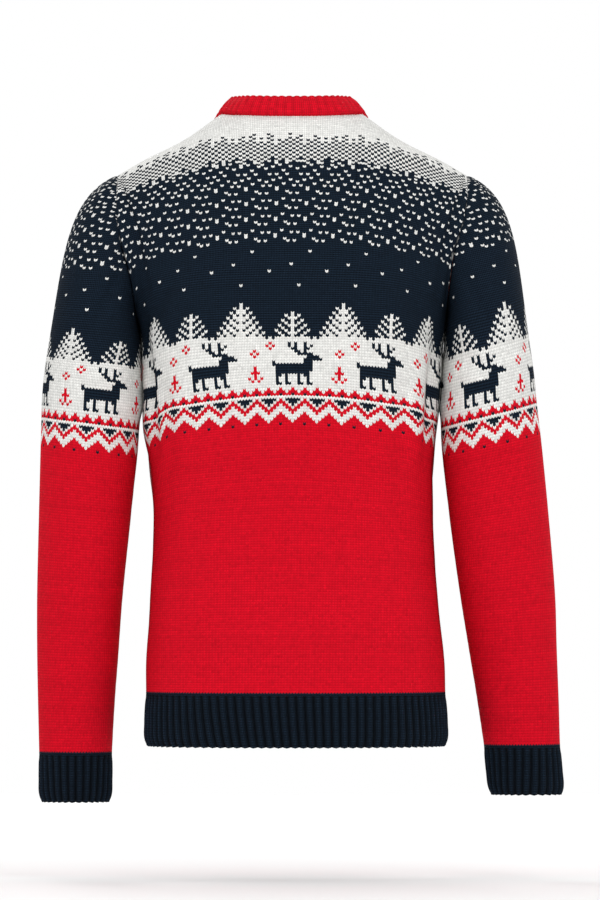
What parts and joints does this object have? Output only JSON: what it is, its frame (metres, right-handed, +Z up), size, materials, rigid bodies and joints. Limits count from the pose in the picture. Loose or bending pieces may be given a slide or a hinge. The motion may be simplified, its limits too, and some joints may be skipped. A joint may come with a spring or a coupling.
{
  "type": "christmas sweater",
  "caption": "Long-sleeved crew-neck knitted jumper, hollow and filled out as when it is worn, with set-in sleeves and a ribbed neck, hem and cuffs.",
  "frame": {"origin": "middle of the neck opening, at the height of the shoulder seams' inner ends", "axes": "+Z up along the body; the wearer faces -Y, so the back is at +Y; +X is the wearer's left"},
  "size_m": [0.568, 0.2443, 0.7665],
  "materials": {
    "panel_knit": "matt stocking stitch, red below a white and navy yoke",
    "sleeve_knit": "matt stocking stitch, red below a white and navy top",
    "red_rib": "matt red rib",
    "navy_rib": "matt navy rib"
  },
  "bodies": {
    "root": {"back_panel": "panel_knit", "front_panel": "panel_knit", "left_sleeve": "sleeve_knit", "right_sleeve": "sleeve_knit", "neckband": "red_rib", "back_hem_rib": "navy_rib", "front_hem_rib": "navy_rib", "left_cuff": "navy_rib", "right_cuff": "navy_rib"}
  },
  "joints": []
}
